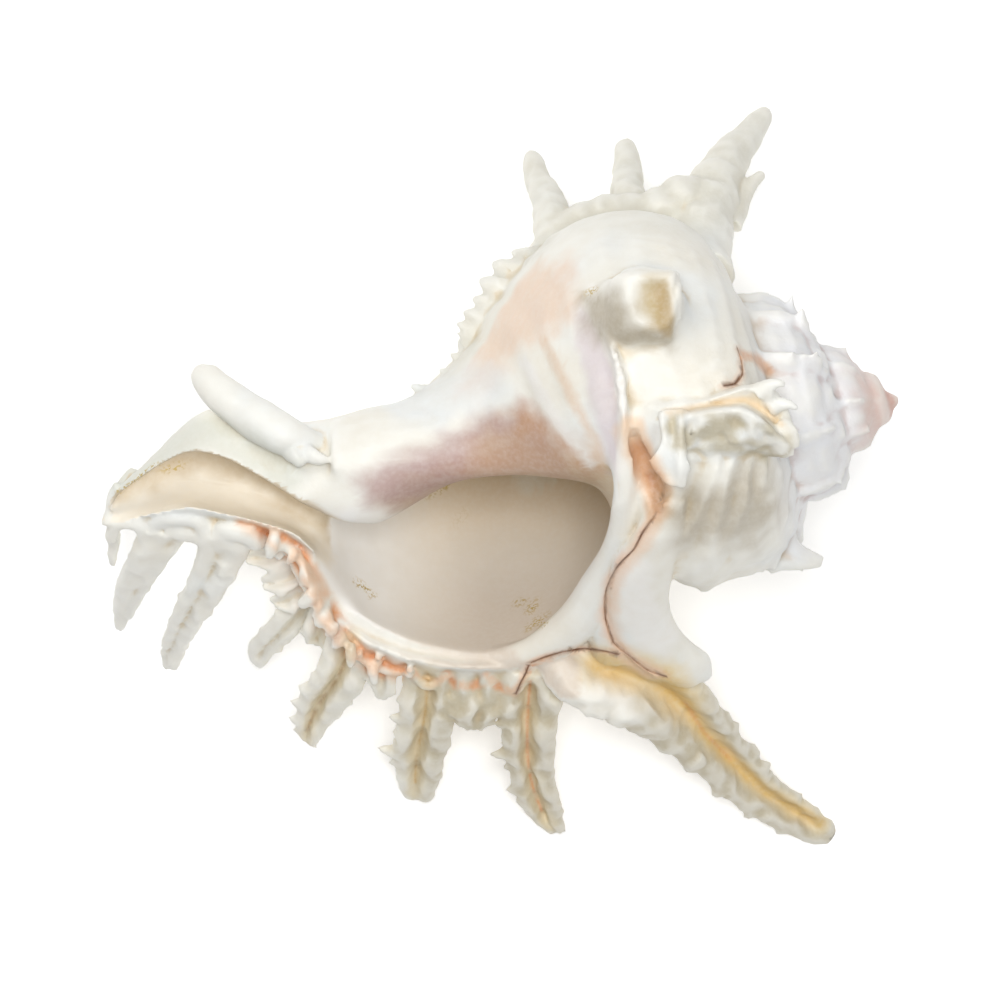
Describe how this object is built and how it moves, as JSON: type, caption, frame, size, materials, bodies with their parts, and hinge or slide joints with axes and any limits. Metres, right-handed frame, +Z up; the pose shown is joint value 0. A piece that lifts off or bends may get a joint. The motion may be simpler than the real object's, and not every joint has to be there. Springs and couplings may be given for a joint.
{
  "type": "murex shell",
  "caption": "Spiny murex seashell with a flaring frilled lip, open aperture, siphonal canal and knobbly spire, lying on its back.",
  "frame": {"origin": "centre of the underside of the shell's box, on the surface it rests on", "axes": "+X from the siphonal canal towards the spire, +Y from the lip towards the spines behind it, +Z up out of the opening"},
  "size_m": [0.1804, 0.1734, 0.1073],
  "materials": {
    "shell": "satin"
  },
  "bodies": {
    "root": {"shell": "shell"}
  },
  "joints": []
}
